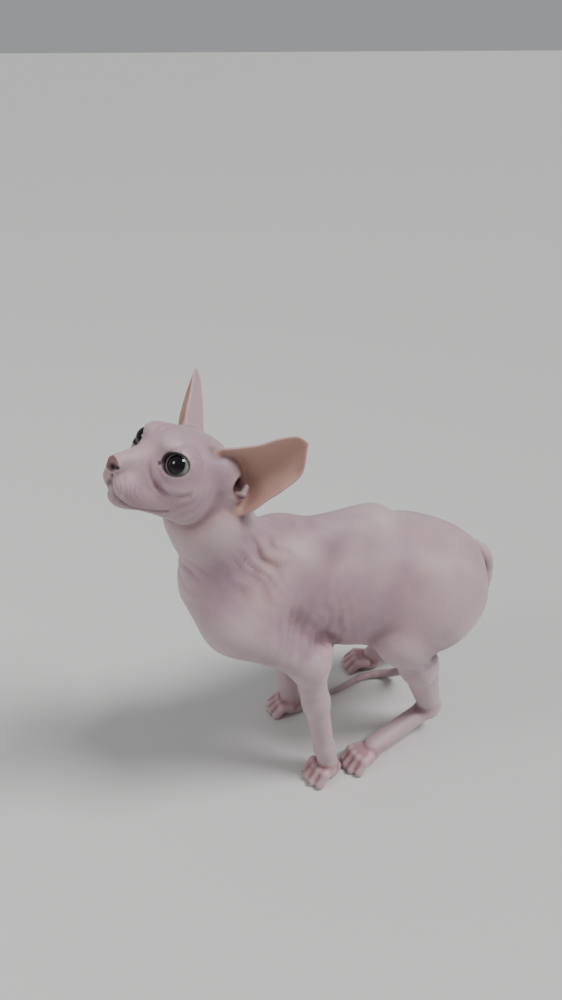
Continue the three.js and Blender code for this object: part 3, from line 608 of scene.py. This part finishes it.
# Creases ring each eye above and below. Each nostril is a deep dimple with a slit behind it, and a small
# dent lies at the inner corner of each eye.

UPPER_CREASE, UPPER_WIDTH, UPPER_DEPTH = 14.2, 0.9, 0.7
LOWER_CREASE, LOWER_WIDTH, LOWER_DEPTH = 20.5, 1.5, 1.1
NOSTRIL = ((4.0, 33.2, -17.2), 2.5, 3.2)
NOSTRIL_SLIT = ((6.2, 30.6, -16.6), 1.8, 1.6)
EYE_CORNER = ((13.6, 7.5, -3.4), 2.0, 0.9)

# The dents also give a mask of painted shade, near black in the nostrils and the eye-corner dents.
dimple_shade = np.zeros(len(points))
for side in (-1, 1):
    away = local - (EYE_SPACING / 2 * side, -EYE_SET_BACK, 0)
    gap = np.linalg.norm(away, axis=1)
    above = np.clip(away[:, 2] / 6, 0, 1)
    below = np.clip(-away[:, 2] / 8 - 0.2, 0, 1)
    press += UPPER_DEPTH * np.exp(-((gap - UPPER_CREASE) / UPPER_WIDTH) ** 2) * above
    press += LOWER_DEPTH * np.exp(-((gap - LOWER_CREASE) / LOWER_WIDTH) ** 2) * below * (local[:, 1] > -10)
    for (out, fore, up), radius, depth in (NOSTRIL, NOSTRIL_SLIT, EYE_CORNER):
        gap = np.linalg.norm(local - (out * side, fore, up), axis=1) / radius
        dent = np.clip(1.15 - gap, 0, 1) ** 0.7
        press += depth * dent
        dimple_shade = np.maximum(dimple_shade, dent)
mesh.vertices.foreach_set("co", points.ravel())
mesh.update()
normals = np.zeros(len(points) * 3)
mesh.vertex_normals.foreach_get("vector", normals)
normals = normals.reshape(-1, 3)
points = points - normals * press[:, None]
points[:, 2] = np.maximum(points[:, 2], 0)
mesh.vertices.foreach_set("co", points.ravel())

# Colour masks ride on the skin's points. The painted shade of the hollows and the painted light of the ridges
# are found from the skin's own curve. The nose leather, the dark rims with the painted shade of the nostrils,
# the ear linings, the painted shade deep in the ears, the paws and the painted shade on the tail are found
# from how near a point lies to each.

CURVE_SHADE_DEPTH, RIM_WIDTH, LIP_WIDTH = 0.5, 1.2, 1.3
NOSE_CENTRE, NOSE_RADII = (0, 33, -16), (8.2, 5, 5.6)
LINING_EDGE, LINING_FADE, CANAL_SHADE, FOLD_SHADE = 1.5, 2, 3.5, 1.5
PAW_REACH, PAW_FADE, TAIL_SHADE_FADE = 18, 14, 8

# Painted shade and light: the skin's curve darkens its hollows and creases and lightens its ridges.
smooth = points
for _ in range(6):
    smooth = spread_places(smooth)
curve_shade = np.einsum("ij,ij->i", smooth - points, normals)
for _ in range(2):
    curve_shade = spread_out(curve_shade)
curve_shade = np.clip(curve_shade / CURVE_SHADE_DEPTH, -1, 1)

nose = 1 - np.linalg.norm((local - NOSE_CENTRE) / NOSE_RADII, axis=1)
nose = np.clip(nose * 4, 0, 1)

dark_rim_and_hole_shade = np.zeros(len(points))
for side, opening in zip((-1, 1), openings):
    close = around(points, eye_centre(side), 17)
    dark_rim_and_hole_shade[close] = np.clip(1.2 - np.abs(distance_to(opening, points[close])) / RIM_WIDTH, 0, 1)
# Painted shade: the nostrils and eye-corner dents are painted near black along with the lid rims.
dark_rim_and_hole_shade = np.maximum(dark_rim_and_hole_shade, np.clip(dimple_shade * 1.6, 0, 1))
close = np.flatnonzero(around(points, on_head(0, 16, -24), 38))
for line in lines:
    lip = np.clip(1 - np.abs(distance_to(line, points[close])) / LIP_WIDTH, 0, 1) * 0.8
    dark_rim_and_hole_shade[close] = np.maximum(dark_rim_and_hole_shade[close], lip)

lining = np.zeros(len(points))
for side, ear in zip((-1, 1), ears):
    for n in np.flatnonzero(around(points, ear["middle"], ear["reach"] + 4)):
        hit, normal, _, gap = ear["tree"].find_nearest(points[n].tolist())
        away = (Vector(points[n]) - hit).dot(normal) * -side
        inner = min(max(0.5 + away / LINING_EDGE, 0), 1)
        lining[n] = max(lining[n], inner * min(max(2.2 - gap / LINING_FADE, 0), 1))
for _ in range(2):
    lining = spread_out(lining)

# Painted shade: the ear canals and the folds inside the ears are darkened.
gap = np.min([np.abs(distance_to(canal, points)) for canal in canals], axis=0)
ear_shade = np.clip(1.1 - gap / CANAL_SHADE, 0, 1)
for part in folds_in_ear:
    gap = np.abs(distance_to(part, points))
    ear_shade = np.maximum(ear_shade, 0.35 * np.clip(1.5 - gap / FOLD_SHADE, 0, 1))

paws = np.zeros(len(points))
for leg in FOUR_LEGS:
    gap = np.linalg.norm(points - np.array(leg["paw"]) + (0, 6, 0), axis=1)
    paws = np.maximum(paws, np.exp(-np.maximum(gap - PAW_REACH, 0) / PAW_FADE))
# Painted shade: the tail, which lies under and behind the cat, is darkened along its length from the rump.
gap = np.min([np.linalg.norm(points - place, axis=1) for place in tail_line[6:]], axis=0)
tail_shade = np.clip(1.6 - gap / TAIL_SHADE_FADE, 0, 1)

masks = {"curve_shade": curve_shade, "nose": nose, "dark_rim_and_hole_shade": dark_rim_and_hole_shade, "lining": lining, "ear_shade": ear_shade, "paws": paws,
         "tail_shade": tail_shade}
for name, amount in masks.items():
    mesh.attributes.new(name, "FLOAT", "POINT").data.foreach_set("value", amount.astype(np.float32))

mesh.transform(Matrix.Scale(1 / MM_PER_METRE, 4) @ Matrix.Translation(SHIFT))
mesh.polygons.foreach_set("use_smooth", [True] * len(mesh.polygons))

# Skin paint: pale pink with lilac and warm mottling, redder on the paws, peach in the ears, brown on the nose
# and near black on the lid rims and the mouth line. Shade is painted dark red into the hollows and creases,
# and dark into the ear canals, the nostrils, the eye-corner dents and along the tail. Light is painted onto
# the ridges. The bare skin has a soft sheen and a fine net of wrinkles, and light sinks a little way into it.

PALE, LILAC, WARM = (0.48, 0.325, 0.355, 1), (0.34, 0.215, 0.27, 1), (0.50, 0.32, 0.275, 1)
SKIN_TONES = (
    ("paws", 0.15, 1.0, 0.75, (0.38, 0.20, 0.21, 1)),
    # Painted shade: the tail, lying under the cat, is darkened.
    ("tail_shade", 0.1, 1.0, 0.6, (0.27, 0.17, 0.17, 1)),
    # Painted shade darkens the hollows and creases, and the next tone is painted light on the ridges.
    ("curve_shade", 0.06, 0.9, 0.8, (0.15, 0.075, 0.09, 1)),
    ("curve_shade", -0.08, -0.8, 0.6, (0.58, 0.44, 0.46, 1)),
    ("lining", 0.1, 0.9, 0.8, (0.54, 0.31, 0.24, 1)),
    # Painted shade in the ear canals and the folds inside the ears.
    ("ear_shade", 0.1, 1.0, 0.9, (0.10, 0.025, 0.025, 1)),
    ("nose", 0.1, 0.6, 0.92, (0.13, 0.06, 0.055, 1)),
    # The dark lid rims and mouth line are the cat's own skin; the nostrils and eye-corner dents here are
    # painted shade.
    ("dark_rim_and_hole_shade", 0.1, 1.0, 0.9, (0.02, 0.01, 0.01, 1)),
)


def new_paint(name, finish):
    paint = bpy.data.materials.new(name)
    paint.use_nodes = True
    for socket, value in finish.items():
        paint.node_tree.nodes["Principled BSDF"].inputs[socket].default_value = value
    return paint


def noise(tree, coords, scale, detail):
    node = tree.nodes.new("ShaderNodeTexNoise")
    node.inputs["Scale"].default_value = scale
    node.inputs["Detail"].default_value = detail
    tree.links.new(coords.outputs["Object"], node.inputs["Vector"])
    return node.outputs["Fac"]


def span(tree, value, low, high, top=1.0):
    node = tree.nodes.new("ShaderNodeMapRange")
    node.inputs["From Min"].default_value = low
    node.inputs["From Max"].default_value = high
    node.inputs["To Max"].default_value = top
    tree.links.new(value, node.inputs["Value"])
    return node.outputs["Result"]


def mask(tree, name, low, high, top=1.0):
    node = tree.nodes.new("ShaderNodeAttribute")
    node.attribute_name = name
    return span(tree, node.outputs["Fac"], low, high, top)


def layer(tree, under, colour, amount):
    node = tree.nodes.new("ShaderNodeMix")
    node.data_type = "RGBA"
    tree.links.new(amount, node.inputs["Factor"])
    if isinstance(under, tuple):
        node.inputs["A"].default_value = under
    else:
        tree.links.new(under, node.inputs["A"])
    node.inputs["B"].default_value = colour
    return node.outputs["Result"]


bare = new_paint("skin", {
    "Roughness": 0.5,
    "Subsurface Weight": 0.25,
    "Subsurface Radius": (1.0, 0.35, 0.2),
    "Subsurface Scale": 0.003,
    "Sheen Weight": 0.25,
    "Sheen Roughness": 0.4,
})
tree = bare.node_tree
coords = tree.nodes.new("ShaderNodeTexCoord")
tone = layer(tree, PALE, LILAC, span(tree, noise(tree, coords, 14, 3), 0.42, 0.68))
tone = layer(tree, tone, WARM, span(tree, noise(tree, coords, 23, 4), 0.5, 0.75, 0.7))
for name, low, high, top, colour in SKIN_TONES:
    tone = layer(tree, tone, colour, mask(tree, name, low, high, top))
tree.links.new(tone, tree.nodes["Principled BSDF"].inputs["Base Color"])

wrinkles = tree.nodes.new("ShaderNodeTexVoronoi")
wrinkles.feature = "DISTANCE_TO_EDGE"
wrinkles.inputs["Scale"].default_value = 900
tree.links.new(coords.outputs["Object"], wrinkles.inputs["Vector"])
relief = tree.nodes.new("ShaderNodeMath")
relief.operation = "MULTIPLY_ADD"
relief.inputs[1].default_value = 0.3
tree.links.new(span(tree, wrinkles.outputs["Distance"], 0, 0.25), relief.inputs[0])
tree.links.new(noise(tree, coords, 130, 6), relief.inputs[2])
bump = tree.nodes.new("ShaderNodeBump")
bump.inputs["Strength"].default_value = 0.25
bump.inputs["Distance"].default_value = 0.0009
tree.links.new(relief.outputs["Value"], bump.inputs["Height"])
tree.links.new(bump.outputs["Normal"], tree.nodes["Principled BSDF"].inputs["Normal"])
mesh.materials.append(bare)
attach(skin, "root")
flesh_nodes = [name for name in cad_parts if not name.startswith("eye")]
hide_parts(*flesh_nodes)

# Eyes: wet balls between the lids, with a pupil, an iris and a bulging clear cornea. Each keeps the size
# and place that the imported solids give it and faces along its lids' opening.

EYE_RINGS, EYE_SPOKES, EYE_CLEARANCE = 44, 56, 0.02
CORNEA_BULGE, CORNEA_ANGLE = 1.0, 0.85
IRIS_INNER, IRIS_OUTER, IRIS_FLECK = (0.17, 0.175, 0.155, 1), (0.40, 0.40, 0.36, 1), (0.10, 0.12, 0.10, 1)
EYE_EDGE, PUPIL = (0.02, 0.015, 0.015, 1), (0.002, 0.002, 0.003, 1)

wet = new_paint("eye", {
    "Roughness": 0.5,
    "Specular IOR Level": 0.0,
    "Coat Weight": 1.0,
    "Coat Roughness": 0.01,
    "Coat IOR": 1.45,
})
tree = wet.node_tree
coords = tree.nodes.new("ShaderNodeTexCoord")
tone = layer(tree, IRIS_INNER, IRIS_OUTER, mask(tree, "out", 0.66, 0.84))
tone = layer(tree, tone, IRIS_FLECK, span(tree, noise(tree, coords, 900, 3), 0.5, 0.8, 0.25))
tone = layer(tree, tone, EYE_EDGE, mask(tree, "out", 0.88, 0.95))
tone = layer(tree, tone, PUPIL, mask(tree, "out", 0.64, 0.60))
tree.links.new(tone, tree.nodes["Principled BSDF"].inputs["Base Color"])

for name, side in (("left", 1), ("right", -1)):
    look = head_way(0.40 * side, 0.92, 0.16).normalized()
    turn = look.to_track_quat("Z", "Y").to_matrix()
    corners, out = [], []
    for row in range(EYE_RINGS + 1):
        angle = math.pi * (row / EYE_RINGS) ** 1.3
        bulge = CORNEA_BULGE * max(0, 1 - (angle / CORNEA_ANGLE) ** 2) ** 1.5
        radius = EYE_RADIUS - EYE_CLEARANCE + bulge
        for spoke in range(EYE_SPOKES):
            way = 2 * math.pi * spoke / EYE_SPOKES
            outward = Vector((math.sin(angle) * math.cos(way), math.sin(angle) * math.sin(way),
                              math.cos(angle)))
            corners.append(eye_centre(side) + turn @ (outward * radius))
            out.append(math.sin(min(angle, math.pi / 2)) * EYE_RADIUS / 10)
    ring = [[row * EYE_SPOKES + spoke % EYE_SPOKES for spoke in range(EYE_SPOKES + 1)]
            for row in range(EYE_RINGS + 1)]
    faces = [(ring[row][n], ring[row + 1][n], ring[row + 1][n + 1], ring[row][n + 1])
             for row in range(EYE_RINGS) for n in range(EYE_SPOKES)]
    ball = bpy.data.meshes.new("eye_" + name + "_ball")
    ball.from_pydata(metres(corners).tolist(), [], faces)
    ball.attributes.new("out", "FLOAT", "POINT").data.foreach_set("value", np.array(out, np.float32))
    shape = bmesh.new()
    shape.from_mesh(ball)
    bmesh.ops.remove_doubles(shape, verts=shape.verts, dist=1e-6)
    shape.to_mesh(ball)
    shape.free()
    ball.polygons.foreach_set("use_smooth", [True] * len(ball.polygons))
    ball.materials.append(wet)
    eye = bpy.data.objects.new("eye_" + name + "_ball", ball)
    bpy.context.collection.objects.link(eye)
    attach(eye, "root")
    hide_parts("eye_" + name)

# Claws: a short pointed horn half hidden at the tip of each toe. One tree of nodes stands a slim cone on
# each root point along its own aim, and makes the whiskers too.

CLAW_LENGTH, CLAW_RADIUS = 4.2, 1.0


def grow_horns(name, roots, aims, reaches, root_radius, paint):
    seeds = bpy.data.meshes.new(name)
    seeds.from_pydata(metres(roots).tolist(), [], [])
    seeds.attributes.new("aim", "FLOAT_VECTOR", "POINT").data.foreach_set("vector", np.ravel(aims))
    lengths = np.array(reaches) / MM_PER_METRE
    seeds.attributes.new("reach", "FLOAT", "POINT").data.foreach_set("value", lengths)
    tree = bpy.data.node_groups.new(name, "GeometryNodeTree")
    tree.interface.new_socket("Roots", in_out="INPUT", socket_type="NodeSocketGeometry")
    thick = tree.interface.new_socket("Root Radius", in_out="INPUT", socket_type="NodeSocketFloat")
    tree.interface.new_socket("Horns", in_out="OUTPUT", socket_type="NodeSocketGeometry")
    start, end = tree.nodes.new("NodeGroupInput"), tree.nodes.new("NodeGroupOutput")
    horn = tree.nodes.new("GeometryNodeMeshCone")
    horn.inputs["Vertices"].default_value = 8
    horn.inputs["Side Segments"].default_value = 3
    horn.inputs["Depth"].default_value = 1
    aim = tree.nodes.new("GeometryNodeInputNamedAttribute")
    aim.data_type = "FLOAT_VECTOR"
    aim.inputs["Name"].default_value = "aim"
    reach = tree.nodes.new("GeometryNodeInputNamedAttribute")
    reach.inputs["Name"].default_value = "reach"
    point_along = tree.nodes.new("FunctionNodeAlignRotationToVector")
    point_along.axis = "Z"
    stretch = tree.nodes.new("ShaderNodeCombineXYZ")
    stretch.inputs["X"].default_value = 1
    stretch.inputs["Y"].default_value = 1
    stand = tree.nodes.new("GeometryNodeInstanceOnPoints")
    real = tree.nodes.new("GeometryNodeRealizeInstances")
    coat = tree.nodes.new("GeometryNodeSetMaterial")
    coat.inputs["Material"].default_value = paint
    link = tree.links.new
    link(start.outputs["Root Radius"], horn.inputs["Radius Bottom"])
    link(start.outputs["Roots"], stand.inputs["Points"])
    link(horn.outputs["Mesh"], stand.inputs["Instance"])
    link(aim.outputs["Attribute"], point_along.inputs["Vector"])
    link(point_along.outputs["Rotation"], stand.inputs["Rotation"])
    link(reach.outputs["Attribute"], stretch.inputs["Z"])
    link(stretch.outputs["Vector"], stand.inputs["Scale"])
    link(stand.outputs["Instances"], real.inputs["Geometry"])
    link(real.outputs["Geometry"], coat.inputs["Geometry"])
    link(coat.outputs["Geometry"], end.inputs["Horns"])
    piece = bpy.data.objects.new(name, seeds)
    bpy.context.collection.objects.link(piece)
    grower = piece.modifiers.new(name, "NODES")
    grower.node_group = tree
    grower[thick.identifier] = root_radius / MM_PER_METRE
    made = bpy.data.meshes.new_from_object(piece.evaluated_get(bpy.context.evaluated_depsgraph_get()))
    piece.modifiers.clear()
    piece.data = made
    made.name = name
    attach(piece, "root")


roots, aims = [], []
for leg in FOUR_LEGS:
    turn = foot_turn(leg)
    for step in TOE_STEPS:
        out, reach = toe_reach(leg, step)
        tip = reach + TOE_RADIUS
        roots.append(Vector(leg["paw"]) + turn @ Vector((out * TOE_SPLAY, 2.2 - tip, 5.0)))
        aims.append(turn @ Vector((0, -0.86, -0.5)))
horn_brown = new_paint("claws", {"Base Color": (0.20, 0.10, 0.09, 1), "Roughness": 0.35})
grow_horns("claws", roots, aims, [CLAW_LENGTH] * len(roots), CLAW_RADIUS, horn_brown)

# Whiskers: a few short, pale, broken hairs on each whisker pad and over each eye. Their roots are drawn
# onto the skin's surface and sunk a little into it.

WHISKER_RADIUS, WHISKER_SINK, SHORTEST, LONGEST = 0.11, 0.5, 3.2, 6.5

roots, aims = [], []
for side in (-1, 1):
    for row in range(3):
        for n in range(3):
            roots.append(on_head((11 + 2.2 * n) * side, 22 - 4 * n, -21.5 - 3.4 * row + n * 0.4))
            aims.append(head_way((0.75 + 0.1 * n) * side, 0.42 - 0.3 * n, 0.02 - 0.2 * row))
    for n in range(2):
        roots.append(on_head((15 + 4 * n) * side, 5 - 3 * n, 12))
        aims.append(head_way(0.3 * side, 0.4, 0.9))
roots = settle(np.array(roots), 5)
aims = np.array([aim.normalized() for aim in aims])
lengths = rng.uniform(SHORTEST, LONGEST, len(roots))
hair = new_paint("whiskers", {"Base Color": (0.55, 0.48, 0.46, 1), "Roughness": 0.4})
grow_horns("whiskers", roots - aims * WHISKER_SINK, aims, lengths, WHISKER_RADIUS, hair)

# Studio: a pale floor, a broad key light from above and behind the cat, a soft round fill in front of it,
# and the camera where the photograph was taken.

FLOOR_REACH = 40
CAMERA_PLACE, CAMERA_TILT, CAMERA_TURN = (450.35, -217.43, 560), 31.6, 70
LIGHT_AIM = Vector((0, 0, 0.15))

floor_mesh = bpy.data.meshes.new("floor")
corners = [(x * FLOOR_REACH, y * FLOOR_REACH, 0) for x, y in ((-1, -1), (1, -1), (1, 1), (-1, 1))]
floor_mesh.from_pydata(corners, [], [(0, 1, 2, 3)])
floor = bpy.data.objects.new("floor", floor_mesh)
bpy.context.collection.objects.link(floor)
floor_mesh.materials.append(new_paint("floor", {"Base Color": (0.60, 0.595, 0.58, 1)}))

world = bpy.data.worlds.new("studio")
world.use_nodes = True
world.node_tree.nodes["Background"].inputs["Color"].default_value = (0.9, 0.92, 0.95, 1)
world.node_tree.nodes["Background"].inputs["Strength"].default_value = 0.36
bpy.context.scene.world = world

sun_light = bpy.data.lights.new("key", "SUN")
sun_light.energy = 2.9
sun_light.angle = 0.35
fill_light = bpy.data.lights.new("fill", "AREA")
fill_light.shape = "DISK"
fill_light.size = 0.7
fill_light.energy = 10
for light, place in ((sun_light, (0.5, 0.9, 1.7)), (fill_light, (0.1, -1.5, 1.5))):
    lamp = bpy.data.objects.new(light.name, light)
    lamp.location = place
    lamp.rotation_euler = (LIGHT_AIM - Vector(place)).to_track_quat("-Z", "Y").to_euler()
    bpy.context.collection.objects.link(lamp)

camera_data = bpy.data.cameras.new("camera")
camera_data.lens = 27
camera_data.sensor_width = 36
camera = bpy.data.objects.new("camera", camera_data)
camera.location = metres([CAMERA_PLACE])[0]
camera.rotation_euler = (math.radians(90 - CAMERA_TILT), 0, math.radians(CAMERA_TURN))
bpy.context.collection.objects.link(camera)
bpy.context.scene.camera = camera
